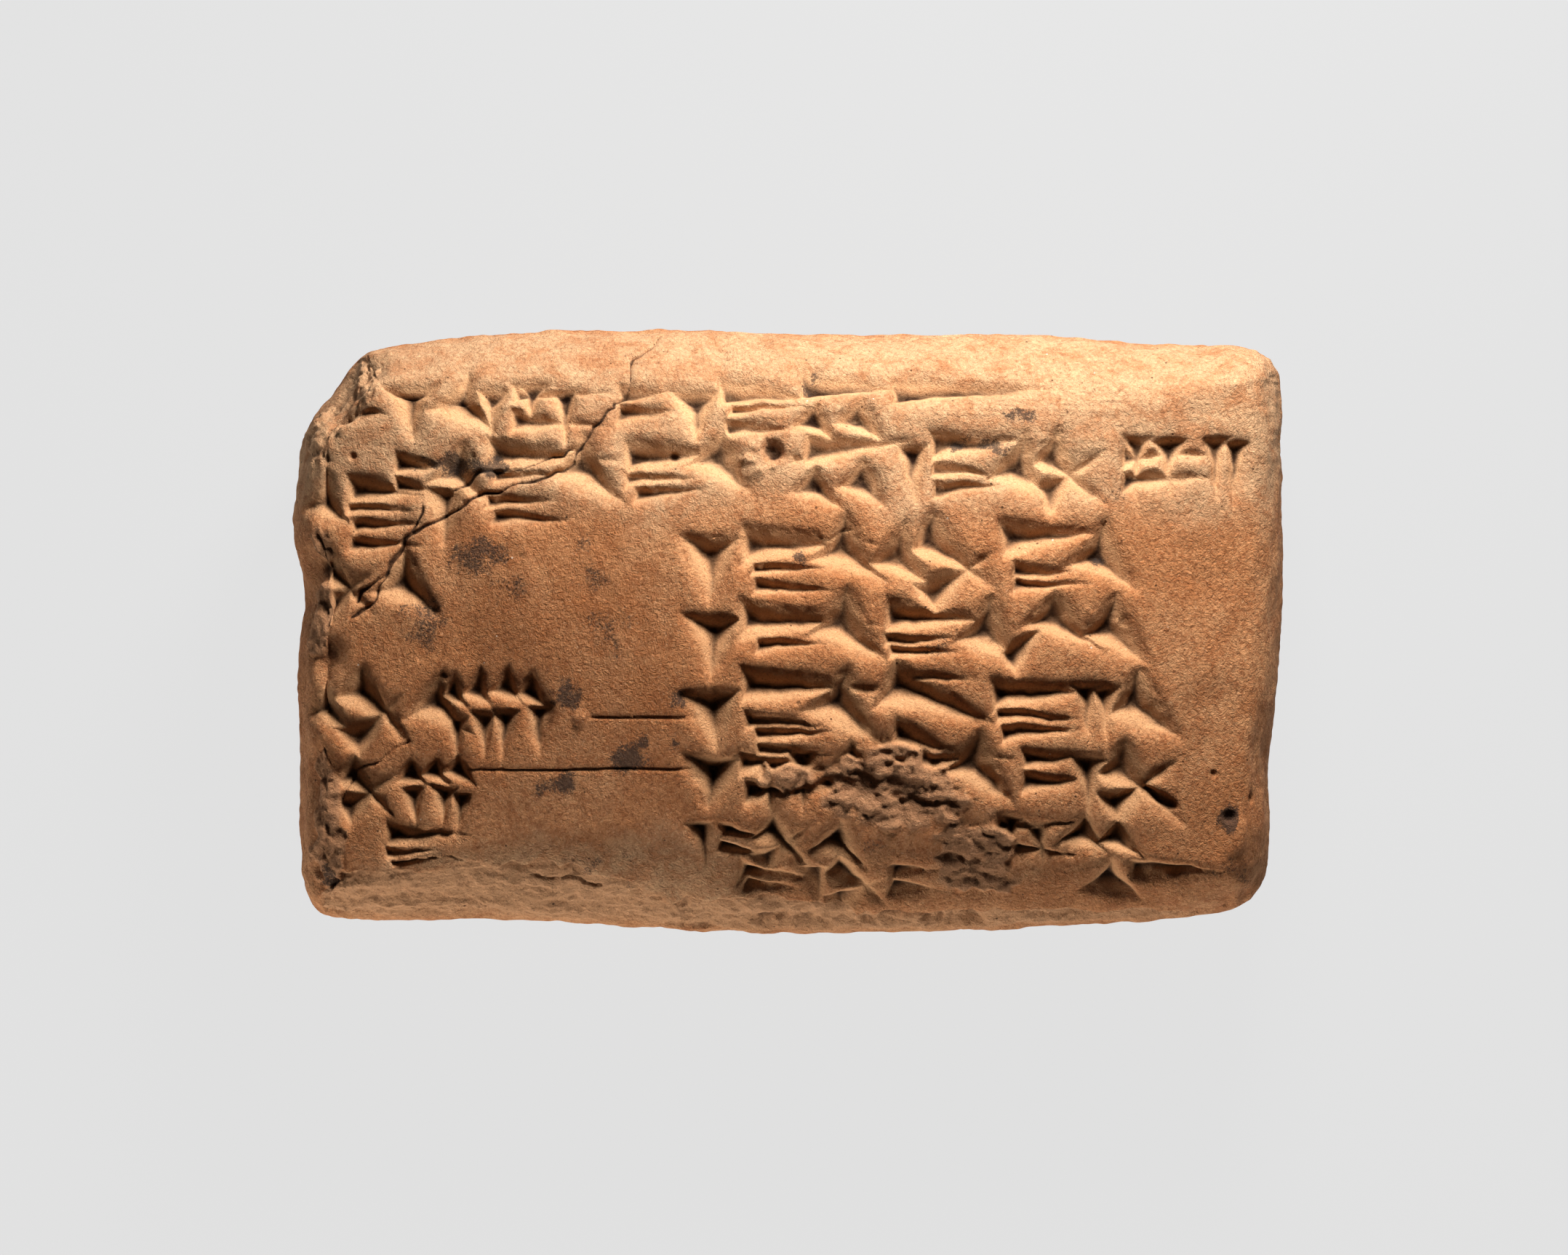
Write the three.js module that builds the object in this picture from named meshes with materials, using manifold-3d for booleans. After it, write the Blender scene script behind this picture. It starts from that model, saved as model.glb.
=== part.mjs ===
// A fired clay tablet, lying on its reverse with its written face up.
// It is one lump of clay: a pillow with a broken corner, chipped edges, a flaked lower edge, a crack,
// two ruled lines, and rows of stylus presses. The presses are wedge-shaped strokes and no writing.
// Millimetres, +X along a line of strokes, +Y towards the top edge, +Z out of the written face.
import * as THREE from "three";
import { mergeVertices } from "three/addons/utils/BufferGeometryUtils.js";
import Module from "manifold-3d";

// Body
const LENGTH = 67.8; // left edge to right edge
const WIDTH = 41.4; // bottom edge to top edge
const THICKNESS = 20;
const FACE_CROWN = 4.2; // how far the written face falls from its middle to its corners
const BACK_CROWN = 2.8; // the same for the reverse, before its flat is rubbed on
const BACK_FLAT = 0.7; // how much the flat takes off the reverse
const EQUATOR = 9.6; // height at which the outline is widest
const ROLL = { top: 5.6, bottom: 7.2, right: 2.3, left: 2.0 }; // widths of the rounded edges
const ROLL_TURN = 8; // how sharply the roll of one edge gives way to the next one's round a corner
const FACE_CELLS = { along: 22, across: 12, roll: 4 }; // mesh cells over the face and over each roll
const CORNER_HOLD = 5; // how strongly the mesh keeps straight rows away from the corners

// Handwriting
const STROKE_TALL = 4.4; // an upright press, from head to tail
const LINE_TILT = 0.012; // each line climbs this much per millimetre
const EDGE_MARGIN = 0.6; // no press comes nearer than this to the outline, but for the lower edge
const LOWER_EDGE = -0.7; // the way out points at least this much down along the lower edge
const SLOP = 0.08; // unsteadiness of the hand, as a share of a press
const RULE_WIDE = 0.5;
const RULE_DEEP = 0.35;
const CRACK_WIDE = 0.34;
const CRACK_DEEP = 0.9;
const OVERSHOOT = 2.2; // a cutter reaches this many times further out than the surface it cuts
const SLOPE_STEP = 0.3; // the surface's slope is taken over this much to each side

const DOWN = -Math.PI / 2;
const RIGHT = 0;
const FALL = -0.72; // slanting down to the right
const RISE = 0.62; // slanting up to the right
const LEAN = -0.4; // slanting a little down

// The outline seen from above, clockwise from the broken upper left corner, as shares of half the
// length and half the width. The last four points run up the break, to the first one.
const OUTLINE = [
  [-0.855, 0.924], [-0.74, 0.958], [-0.59, 0.985], [-0.295, 1.0], [0.06, 0.982], [0.47, 0.982],
  [0.71, 0.955], [0.83, 0.946], [0.925, 0.94], [0.98, 0.885], [0.996, 0.775], [1.0, 0.39],
  [0.998, 0.05], [0.99, -0.19], [0.976, -0.41], [0.972, -0.505], [0.977, -0.65], [0.965, -0.81],
  [0.932, -0.895], [0.855, -0.937], [0.65, -0.968], [0.24, -0.997], [-0.09, -0.998], [-0.355, -0.977],
  [-0.59, -0.955], [-0.83, -0.96], [-0.95, -0.932], [-0.98, -0.845], [-0.99, -0.435], [-0.993, -0.1],
  [-0.98, 0.12], [-1.0, 0.31], [-1.0, 0.41], [-0.985, 0.605], [-0.965, 0.705], [-0.923, 0.79],
  [-0.893, 0.865],
];
const OUTLINE_STEPS = 5; // straight steps between two outline points

// The stylus presses of each mark, in stroke heights: where the head is, from the mark's upper left
// corner, which way the tail runs, its length, the head's width and the depth.
const press = (x, y, angle, length, width, depth) => ({ x, y, angle, length, width, depth });
const repeat = (count, make) => Array.from({ length: count }, (_, i) => make(i));
const MARKS = {
  post: () => ({ wide: 0.84, presses: [press(0.42, 0.02, DOWN, 0.97, 0.92, 0.28)] }),
  slim: () => ({ wide: 0.45, presses: [press(0.22, 0.02, DOWN, 0.95, 0.58, 0.24)] }),
  comb: (n) => ({
    wide: 0.3 * n + 0.1,
    presses: repeat(n, (i) => press(0.18 + 0.3 * i, 0.02, DOWN, 0.95, 0.44, 0.22)),
  }),
  dash: (n) => ({
    wide: 0.75,
    presses: repeat(n, (i) => press(0, -0.1 - 0.3 * i, RIGHT, 0.9, 0.4, 0.19)),
  }),
  bars: (n) => ({
    wide: 1.15,
    presses: [
      press(0, -0.06, RIGHT, 1.45, 0.56, 0.26),
      ...repeat(n - 1, (i) => press(0.08, -0.38 - 0.24 * i, RIGHT, 1.1, 0.32, 0.18)),
    ],
  }),
  gate: (n) => ({
    wide: 2.0,
    presses: [
      press(0, -0.04, RIGHT, 2.0, 0.62, 0.27),
      ...repeat(n, (i) => press(0.12, -0.4 - 0.24 * i, RIGHT, 1.15, 0.32, 0.18)),
      press(1.2, 0.02, FALL, 1.1, 0.95, 0.32),
    ],
  }),
  grid: (n) => ({
    wide: 1.35,
    presses: [
      ...repeat(2, (i) => press(0, -0.1 - 0.4 * i, RIGHT, 1.5, 0.44, 0.2)),
      ...repeat(n, (i) => press(0.32 + (0.9 / n) * i, 0.06, DOWN, 0.98, 0.5, 0.24)),
    ],
  }),
  hook: (n) => ({
    wide: 0.55 * n,
    presses: repeat(n, (i) => press(0.02 + 0.55 * i, -0.1, FALL, 1.0, 0.95, 0.31)),
  }),
  fan: () => ({
    wide: 1.15,
    presses: [press(0, 0.04, FALL, 1.3, 0.8, 0.3), press(0, -0.84, RISE, 1.2, 0.7, 0.27)],
  }),
  wing: () => ({
    wide: 1.5,
    presses: [press(0, 0.04, LEAN, 1.8, 0.78, 0.3), press(0.1, -0.62, LEAN, 1.1, 0.46, 0.2)],
  }),
  peak: () => ({
    wide: 1.2,
    presses: [press(0, -0.74, RISE, 1.0, 0.6, 0.25), press(0.55, 0.02, FALL, 1.1, 0.8, 0.31)],
  }),
  leaf: () => ({
    wide: 1.3,
    presses: [
      press(0, 0, RIGHT, 1.6, 0.6, 0.27),
      press(0.05, -0.45, FALL, 0.8, 0.64, 0.25),
      press(0.62, -0.4, FALL, 0.8, 0.64, 0.25),
    ],
  }),
  crest: (n) => ({
    wide: 0.42 * n + 0.1,
    presses: [
      ...repeat(n, (i) => press(0.42 * i, 0.04, FALL, 0.56, 0.6, 0.26)),
      ...repeat(n, (i) => press(0.22 + 0.42 * i, -0.36, DOWN, 0.8, 0.46, 0.23)),
    ],
  }),
  beam: (n) => ({ wide: 0.6 * n, presses: [press(0, -0.06, RIGHT, 0.6 * n, 0.5, 0.24)] }),
};

// Lines of marks on the written face. y is the top of the line and x where a run of marks starts,
// as shares of half the width and half the length. A mark's number is how many strokes it repeats.
const FACE_LINES = [
  { y: 0.83, size: 1.1, runs: [[-0.93, "dash2 post hook1 slim grid2"], [-0.36, "dash2 post bars3 leaf beam4"]] },
  { y: 0.6, size: 1.05, runs: [[-0.8, "dash2 hook1 gate3"],
    [-0.34, "gate2 dash1 leaf slim bars3 hook1 fan grid2 comb2"]] },
  { y: 0.5, size: 1.0, runs: [[-0.97, "hook1 bars4 post"]] },
  { y: 0.25, size: 1.0, runs: [[-0.96, "fan hook1"]] },
  { y: 0.3, size: 1.1, runs: [[-0.215, "post gate2 hook1 fan bars3 hook1"]] },
  { y: 0.055, size: 1.1, runs: [[-0.215, "post gate1 bars4 hook1 peak hook1"]] },
  { y: -0.17, size: 1.0, runs: [[-0.97, "hook1 fan hook1"], [-0.7, "crest4"]] },
  { y: -0.19, size: 1.1, runs: [[-0.215, "post gate3 wing bars3 comb2 hook1"]] },
  { y: -0.42, size: 1.1, runs: [[-0.215, "post grid2 hook1 gate2 dash2 slim fan"]] },
  { y: -0.44, size: 0.9, runs: [[-0.91, "fan crest3"]] },
  { y: -0.64, size: 0.85, runs: [[-0.82, "bars3"], [-0.19, "slim dash2 fan hook1"], [0.42, "grid2 hook2"]] },
  { y: -0.8, size: 0.85, runs: [[-0.1, "bars2 slim fan dash2"], [0.62, "hook1 beam3"]] },
  { y: -1.0, size: 0.6, runs: [[-0.06, "comb3 hook1 slim hook2 bars2 comb3 hook1"]] },
];

// The reverse is plainer: a few lines at its head, seen from behind.
const BACK_LINES = [
  { y: 0.74, size: 0.9, runs: [[-0.72, "slim bars2 hook1 fan post comb2 gate2 dash1 hook1"]] },
  { y: 0.42, size: 0.9, runs: [[-0.7, "post bars2 hook2 dash3 slim fan gate1"]] },
  { y: 0.1, size: 0.9, runs: [[-0.7, "post fan bars2 hook1"]] },
];

// The two ruled lines: [start x, end x, y], as shares of the half sizes
const RULES = [[-0.395, -0.16, -0.285], [-0.66, -0.16, -0.455]];

// The crack, from the top edge down to the left edge, as shares of the half sizes
const CRACK = [
  [-0.225, 1.02], [-0.245, 0.95], [-0.285, 0.9], [-0.3, 0.8], [-0.335, 0.72], [-0.375, 0.68],
  [-0.42, 0.56], [-0.44, 0.5], [-0.53, 0.47], [-0.62, 0.41], [-0.7, 0.33], [-0.75, 0.25],
  [-0.79, 0.16], [-0.86, 0.1],
];

// Chips and flakes: where each is centred, as shares of the half sizes, and its half sizes along X, Y
// and Z and how far its middle stands above the surface, as shares of the half width. Only its
// underside bites.
const CHIPS = [
  { x: -0.95, y: 0.8, half: [0.2, 0.31, 0.29], lift: 0.24 }, // face of the broken corner
  { x: -0.87, y: 0.93, half: [0.22, 0.16, 0.24], lift: 0.2 },
  { x: -1.0, y: 0.14, half: [0.125, 0.2, 0.19], lift: 0.145 }, // notch in the left edge
  { x: -0.94, y: -0.09, half: [0.105, 0.095, 0.115], lift: 0.063 },
  { x: -0.97, y: -0.5, half: [0.22, 0.265, 0.29], lift: 0.245 }, // spall down the left edge
  { x: -0.96, y: -0.78, half: [0.185, 0.24, 0.29], lift: 0.235 },
  { x: -0.72, y: -0.93, half: [0.46, 0.22, 0.29], lift: 0.255 }, // long flake along the lower edge
  { x: -0.38, y: -0.95, half: [0.41, 0.21, 0.29], lift: 0.26 },
  { x: -0.1, y: -1.04, half: [0.29, 0.125, 0.19], lift: 0.16 },
  { x: 0.2, y: -0.54, half: [0.385, 0.175, 0.24], lift: 0.205 }, // crumbled patch
  { x: 0.38, y: -0.76, half: [0.25, 0.24, 0.24], lift: 0.2 },
  { x: -0.05, y: 0.57, half: [0.095, 0.077, 0.087], lift: 0.048 }, // hole in the second line
  { x: 0.88, y: -0.61, half: [0.063, 0.053, 0.072], lift: 0.034 }, // pit by the lower right corner
];
const CHIP_ROUGH = 0.05; // unevenness of a chip's faces, as a share of its size

// A repeatable number from -1 to 1 for the nth thing that needs one
const wobble = (n) => {
  const s = Math.sin((n + 1) * 12.9898) * 43758.5453;
  return 2 * (s - Math.floor(s)) - 1;
};

// The outline as a closed line in millimetres, moved so that its extents are centred on the origin
function outlineLine() {
  const corners = OUTLINE.map(([x, y]) => new THREE.Vector3((x * LENGTH) / 2, (y * WIDTH) / 2, 0));
  const curve = new THREE.CatmullRomCurve3(corners, true, "centripetal");
  const points = repeat(OUTLINE.length * OUTLINE_STEPS, (i) => {
    const p = curve.getPoint(i / (OUTLINE.length * OUTLINE_STEPS));
    return new THREE.Vector2(p.x, p.y);
  });
  const extents = new THREE.Box2().setFromPoints(points);
  const size = extents.getSize(new THREE.Vector2());
  const middle = extents.getCenter(new THREE.Vector2());
  return points.map((p) => p.sub(middle).multiply(new THREE.Vector2(LENGTH / size.x, WIDTH / size.y)));
}
const outline = outlineLine();

// How far the outline is from the origin in the direction of (x, y)
function reach(x, y) {
  const length = Math.hypot(x, y);
  for (let i = 0; i < outline.length; i++) {
    const a = outline[i];
    const b = outline[(i + 1) % outline.length];
    const ex = b.x - a.x;
    const ey = b.y - a.y;
    const det = x * ey - y * ex;
    if (Math.abs(det) < 1e-12) continue;
    const along = (a.x * ey - a.y * ex) / det; // multiple of (x, y) at which the ray meets the edge
    const share = (a.x * y - a.y * x) / det;
    if (along > 0 && share >= 0 && share <= 1) return along * length;
  }
  throw new Error("the outline doesn't go round the origin");
}

// The outline's point nearest to (x, y), how far inside the outline (x, y) is, and the way out
function nearest(x, y) {
  let best = { gap: Infinity };
  for (let i = 0; i < outline.length; i++) {
    const a = outline[i];
    const b = outline[(i + 1) % outline.length];
    const ex = b.x - a.x;
    const ey = b.y - a.y;
    const share = THREE.MathUtils.clamp(((x - a.x) * ex + (y - a.y) * ey) / (ex * ex + ey * ey), 0, 1);
    const qx = a.x + share * ex;
    const qy = a.y + share * ey;
    const gap = Math.hypot(x - qx, y - qy);
    if (gap < best.gap) {
      const edge = Math.hypot(ex, ey);
      // The outline runs clockwise, so its left is outside.
      best = { gap, qx, qy, nx: -ey / edge, ny: ex / edge };
    }
  }
  const inside = (x - best.qx) * best.nx + (y - best.qy) * best.ny < 0;
  return { ...best, inset: inside ? best.gap : -best.gap };
}

// Width of the rounded edge nearest to (x, y)
function rollWidth(x, y) {
  const sideways = Math.abs((2 * x) / LENGTH) ** ROLL_TURN;
  const upright = Math.abs((2 * y) / WIDTH) ** ROLL_TURN;
  const sideRoll = x > 0 ? ROLL.right : ROLL.left;
  const endRoll = y > 0 ? ROLL.top : ROLL.bottom;
  return (sideways * sideRoll + upright * endRoll) / (sideways + upright || 1);
}

// 1 in the middle of the tablet and 0 at the corners of the box around it
const dome = (x, y) => (1 - ((2 * x) / LENGTH) ** 2) * (1 - ((2 * y) / WIDTH) ** 2);
const plateau = (x, y) => Math.max(0, Math.min(1, dome(x, y)));
const faceHeight = (x, y) => THICKNESS - FACE_CROWN * (1 - plateau(x, y));
const backHeight = (x, y) => Math.max(0, BACK_CROWN * (1 - plateau(x, y)) - BACK_FLAT);

// Height of the written face (side 1) or the reverse (side -1) over (x, y), rounded edge included
function skin(x, y, side) {
  const { inset } = nearest(x, y);
  const share = THREE.MathUtils.clamp(inset / rollWidth(x, y), 0, 1);
  const full = side > 0 ? faceHeight(x, y) : backHeight(x, y);
  return EQUATOR + (full - EQUATOR) * Math.sqrt(1 - (1 - share) ** 2);
}

// Positions of the mesh lines from -1 to 1: even over the face, and even round each rounded edge
function meshLines(half, cells, lowRoll, highRoll) {
  const low = repeat(FACE_CELLS.roll, (i) => {
    const around = (i / FACE_CELLS.roll) * (Math.PI / 2);
    return -1 + (lowRoll / half) * (1 - Math.cos(around));
  });
  const high = repeat(FACE_CELLS.roll, (i) => {
    const around = (i / FACE_CELLS.roll) * (Math.PI / 2);
    return 1 - (highRoll / half) * (1 - Math.cos(around));
  }).reverse();
  const from = -1 + lowRoll / half;
  const to = 1 - highRoll / half;
  return [...low, ...repeat(cells + 1, (i) => from + ((to - from) * i) / cells), ...high];
}

// The plain pillow: one grid over the written face and one over the reverse, joined at the outline
function pillow() {
  const us = meshLines(LENGTH / 2, FACE_CELLS.along, ROLL.left, ROLL.right);
  const vs = meshLines(WIDTH / 2, FACE_CELLS.across, ROLL.bottom, ROLL.top);
  const position = [];
  const index = [];
  for (const side of [1, -1]) {
    const first = position.length / 3;
    for (const v of vs) {
      for (const u of us) {
        const flatX = (u * LENGTH) / 2;
        const flatY = (v * WIDTH) / 2;
        const ring = Math.max(Math.abs(u), Math.abs(v));
        const pull = ring > 0 ? (reach(flatX, flatY) * ring) / Math.hypot(flatX, flatY) : 1;
        const grow = 1 + (pull - 1) * ring ** CORNER_HOLD;
        const x = flatX * grow;
        const y = flatY * grow;
        position.push(x, y, ring === 1 ? EQUATOR : skin(x, y, side));
      }
    }
    for (let j = 0; j + 1 < vs.length; j++) {
      for (let i = 0; i + 1 < us.length; i++) {
        const a = first + j * us.length + i;
        const b = a + 1;
        const c = a + us.length;
        const d = c + 1;
        index.push(...(side > 0 ? [a, b, d, a, d, c] : [a, d, b, a, c, d]));
      }
    }
  }
  const geometry = new THREE.BufferGeometry();
  geometry.setAttribute("position", new THREE.Float32BufferAttribute(position, 3));
  geometry.setIndex(index);
  return geometry;
}

// A point of the surface and the way out of it. (x, y) are measured along the clay: inside the
// rounded edge they are plain coordinates, and from there on they run down round the edge.
function onSurface(x, y, side) {
  const near = nearest(x, y);
  const roll = rollWidth(x, y);
  if (near.inset >= roll) return new THREE.Vector3(x, y, skin(x, y, side));
  const full = side > 0 ? faceHeight(x, y) : backHeight(x, y);
  const rise = full - EQUATOR;
  const arc = ((roll + Math.abs(rise)) / 2) * (Math.PI / 2); // length of the rounded edge, nearly
  const around = (Math.PI / 2) * (1 - (roll - near.inset) / arc);
  const out = roll * (1 - Math.cos(around));
  return new THREE.Vector3(
    near.qx - out * near.nx,
    near.qy - out * near.ny,
    EQUATOR + rise * Math.sin(around),
  );
}

function outwards(x, y, side) {
  const alongX = onSurface(x + SLOPE_STEP, y, side).sub(onSurface(x - SLOPE_STEP, y, side));
  const alongY = onSurface(x, y + SLOPE_STEP, side).sub(onSurface(x, y - SLOPE_STEP, side));
  return alongX.cross(alongY).normalize().multiplyScalar(side);
}

// A solid pyramid with its point at deep and its mouth round the rim, stretched out past the rim
function pit(rim, deep) {
  const mouth = rim.map((p) => deep.clone().lerp(p, OVERSHOOT));
  const corners = [deep, ...mouth];
  const index = [];
  for (let i = 1; i <= mouth.length; i++) index.push(0, (i % mouth.length) + 1, i);
  for (let i = 2; i < mouth.length; i++) index.push(1, i, i + 1);
  return closedSolid(corners, index);
}

// A V-shaped groove along the surface from one point to the next
function groove(from, to, wide, deep, side) {
  const along = new THREE.Vector2(to.x - from.x, to.y - from.y).normalize();
  const across = new THREE.Vector2(-along.y, along.x).multiplyScalar(wide / 2);
  const ends = [from, to].map((p) => {
    const out = outwards(p.x, p.y, side);
    const bed = onSurface(p.x, p.y, side).addScaledVector(out, -deep);
    const left = onSurface(p.x + across.x, p.y + across.y, side);
    const right = onSurface(p.x - across.x, p.y - across.y, side);
    return [bed, bed.clone().lerp(left, OVERSHOOT), bed.clone().lerp(right, OVERSHOOT)];
  });
  return closedSolid(ends.flat(), [0, 2, 1, 3, 4, 5, 0, 4, 3, 0, 1, 4, 1, 5, 4, 1, 2, 5, 2, 3, 5, 2, 0, 3]);
}

// One press of the stylus: two long faces that meet along its tail, and a steep one at its head
function pressPit({ x, y, angle, length, width, depth }, side) {
  const along = new THREE.Vector2(Math.cos(angle), Math.sin(angle));
  const across = new THREE.Vector2(-along.y, along.x);
  const at = (forward, sideways) => [
    x + along.x * forward + across.x * sideways,
    y + along.y * forward + across.y * sideways,
  ];
  const rim = [at(0, width / 2), at(0, -width / 2), at(length, 0)].map((p) => onSurface(...p, side));
  const low = at(Math.min(0.3 * width, 0.25 * length), 0);
  const deep = onSurface(...low, side).addScaledVector(outwards(...low, side), -depth);
  return pit(side > 0 ? rim : rim.reverse(), deep);
}

// Every press of a set of lines
function presses(lines) {
  const made = [];
  for (const line of lines) {
    for (const [startShare, words] of line.runs) {
      const tall = STROKE_TALL * line.size;
      let pen = (startShare * LENGTH) / 2;
      for (const word of words.split(" ")) {
        const [, name, count] = word.match(/^([a-z]+)(\d*)$/);
        const mark = MARKS[name](Number(count || 1));
        for (const p of mark.presses) {
          const n = made.length * 4;
          const x = pen + tall * p.x;
          made.push({
            x: x + SLOP * tall * wobble(n),
            y: (line.y * WIDTH) / 2 + tall * p.y + LINE_TILT * x + SLOP * tall * wobble(n + 1),
            angle: p.angle + SLOP * wobble(n + 2),
            length: tall * p.length * (1 + SLOP * wobble(n + 3)),
            width: tall * p.width,
            depth: tall * p.depth,
          });
        }
        pen += tall * mark.wide;
      }
    }
  }
  return made;
}

// A chip: a rough ball, flattened, whose underside bites into the surface
function chip({ x, y, half, lift }, number) {
  const at = onSurface((x * LENGTH) / 2, (y * WIDTH) / 2, 1);
  const out = outwards((x * LENGTH) / 2, (y * WIDTH) / 2, 1);
  const ball = bare(new THREE.IcosahedronGeometry(1, 1));
  const spots = ball.attributes.position;
  for (let i = 0; i < spots.count; i++) {
    const grow = 1 + CHIP_ROUGH * wobble(number * 100 + i);
    spots.setXYZ(i, spots.getX(i) * grow, spots.getY(i) * grow, spots.getZ(i) * grow);
  }
  ball.scale(...half.map((share) => (share * WIDTH) / 2));
  ball.applyQuaternion(new THREE.Quaternion().setFromUnitVectors(new THREE.Vector3(0, 0, 1), out));
  ball.translate(...at.addScaledVector(out, (lift * WIDTH) / 2).toArray());
  return solidFrom(ball);
}

const wasm = await Module();
wasm.setup();

// A geometry with nothing but shared positions
function bare(geometry) {
  geometry.deleteAttribute("normal");
  geometry.deleteAttribute("uv");
  return mergeVertices(geometry, 1e-4);
}

function solidFrom(geometry) {
  const merged = bare(geometry);
  return new wasm.Manifold(
    new wasm.Mesh({
      numProp: 3,
      vertProperties: new Float32Array(merged.attributes.position.array),
      triVerts: new Uint32Array(merged.index.array),
    }),
  );
}

function closedSolid(corners, index) {
  const geometry = new THREE.BufferGeometry();
  geometry.setAttribute("position", new THREE.Float32BufferAttribute(corners.flatMap((p) => p.toArray()), 3));
  geometry.setIndex(index);
  return solidFrom(geometry);
}

function geometryFrom(solid) {
  const mesh = solid.getMesh();
  const geometry = new THREE.BufferGeometry();
  geometry.setAttribute("position", new THREE.BufferAttribute(mesh.vertProperties, mesh.numProp));
  geometry.setIndex(new THREE.BufferAttribute(mesh.triVerts, 1));
  return geometry;
}

const toMillimetres = ([x, y]) => new THREE.Vector2((x * LENGTH) / 2, (y * WIDTH) / 2);

// Whether a press has clay under both its ends; the writing runs on only over the lower edge.
function fits({ x, y, angle, length }) {
  return [0, length].every((forward) => {
    const near = nearest(x + forward * Math.cos(angle), y + forward * Math.sin(angle));
    return near.inset > EDGE_MARGIN || near.ny < LOWER_EDGE;
  });
}

function strokes() {
  const face = presses(FACE_LINES).filter(fits).map((p) => pressPit(p, 1));
  const back = presses(BACK_LINES).filter(fits).map((p) => pressPit(p, -1));
  return [...face, ...back];
}

function ruledLines() {
  return RULES.map(([from, to, y]) =>
    groove(toMillimetres([from, y]), toMillimetres([to, y]), RULE_WIDE, RULE_DEEP, 1),
  );
}

function crack() {
  const points = CRACK.map(toMillimetres);
  return points.slice(1).map((p, i) => groove(points[i], p, CRACK_WIDE, CRACK_DEEP, 1));
}

function carvedTablet() {
  const cutters = [...CHIPS.map(chip), ...strokes(), ...ruledLines(), ...crack()];
  const removed = cutters.reduce((all, one) => all.add(one));
  const pieces = solidFrom(pillow()).subtract(removed).decompose();
  // Crumbs that the cuts leave loose have fallen off.
  return geometryFrom(pieces.reduce((most, one) => (one.volume() > most.volume() ? one : most)));
}

const clay = new THREE.MeshStandardMaterial({ color: 0xbe824f, roughness: 0.9, metalness: 0 });
const tablet = new THREE.Mesh(carvedTablet(), clay);
tablet.name = "tablet";

// The origin is under the middle of the box round the tablet, on what it lies on.
tablet.geometry.computeBoundingBox();
const box = tablet.geometry.boundingBox;
tablet.position.set(-(box.min.x + box.max.x) / 2, -(box.min.y + box.max.y) / 2, -box.min.z);

const part = new THREE.Group();
part.add(tablet);
export default part;
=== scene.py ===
"""A fired clay tablet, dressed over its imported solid.

The surface is laid out along the clay: u and v are millimetres from the middle of the face, and past
the start of a rounded edge they run on down round it. A relief of stylus presses, cracks, flakes and
chips is drawn on that sheet and then raised on a fine mesh of the tablet.
"""
import math
import re

import bpy
import numpy as np
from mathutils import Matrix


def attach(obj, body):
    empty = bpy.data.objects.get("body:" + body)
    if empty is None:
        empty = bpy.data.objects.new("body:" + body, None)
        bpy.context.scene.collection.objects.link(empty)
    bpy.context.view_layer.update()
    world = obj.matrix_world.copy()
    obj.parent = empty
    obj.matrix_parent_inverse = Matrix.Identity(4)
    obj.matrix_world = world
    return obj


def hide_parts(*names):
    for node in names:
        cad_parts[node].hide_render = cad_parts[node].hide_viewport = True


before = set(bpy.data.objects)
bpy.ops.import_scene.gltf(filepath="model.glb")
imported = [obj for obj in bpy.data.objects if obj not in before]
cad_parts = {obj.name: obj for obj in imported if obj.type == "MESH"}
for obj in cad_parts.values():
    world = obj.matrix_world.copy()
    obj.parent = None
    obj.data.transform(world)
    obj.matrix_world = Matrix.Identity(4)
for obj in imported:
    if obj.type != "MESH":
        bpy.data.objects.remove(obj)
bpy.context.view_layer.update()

# Body, the same values as in the solid, in millimetres
LENGTH = 67.8
WIDTH = 41.4
THICKNESS = 20.0
FACE_CROWN = 4.2  # how far the written face falls from its middle to its corners
BACK_CROWN = 2.8  # the same for the reverse, before its flat is rubbed on
BACK_FLAT = 0.7  # how much the flat takes off the reverse
EQUATOR = 9.6  # height at which the outline is widest
ROLL = {"top": 5.6, "bottom": 7.2, "right": 2.3, "left": 2.0}  # widths of the rounded edges
ROLL_TURN = 8  # how sharply the roll of one edge gives way to the next one's round a corner
CORNER_HOLD = 5  # how strongly the mesh keeps straight rows away from the corners
MM = 0.001

# Knots of the outline, clockwise, as shares of the half length and the half width
OUTLINE = [
    (-0.855, 0.924), (-0.74, 0.958), (-0.59, 0.985), (-0.295, 1.0), (0.06, 0.982), (0.47, 0.982),
    (0.71, 0.955), (0.83, 0.946), (0.925, 0.94), (0.98, 0.885), (0.996, 0.775), (1.0, 0.39),
    (0.998, 0.05), (0.99, -0.19), (0.976, -0.41), (0.972, -0.505), (0.977, -0.65), (0.965, -0.81),
    (0.932, -0.895), (0.855, -0.937), (0.65, -0.968), (0.24, -0.997), (-0.09, -0.998), (-0.355, -0.977),
    (-0.59, -0.955), (-0.83, -0.96), (-0.95, -0.932), (-0.98, -0.845), (-0.99, -0.435), (-0.993, -0.1),
    (-0.98, 0.12), (-1.0, 0.31), (-1.0, 0.41), (-0.985, 0.605), (-0.965, 0.705), (-0.923, 0.79),
    (-0.893, 0.865),
]
OUTLINE_STEPS = 8  # points from each knot to the next

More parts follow.
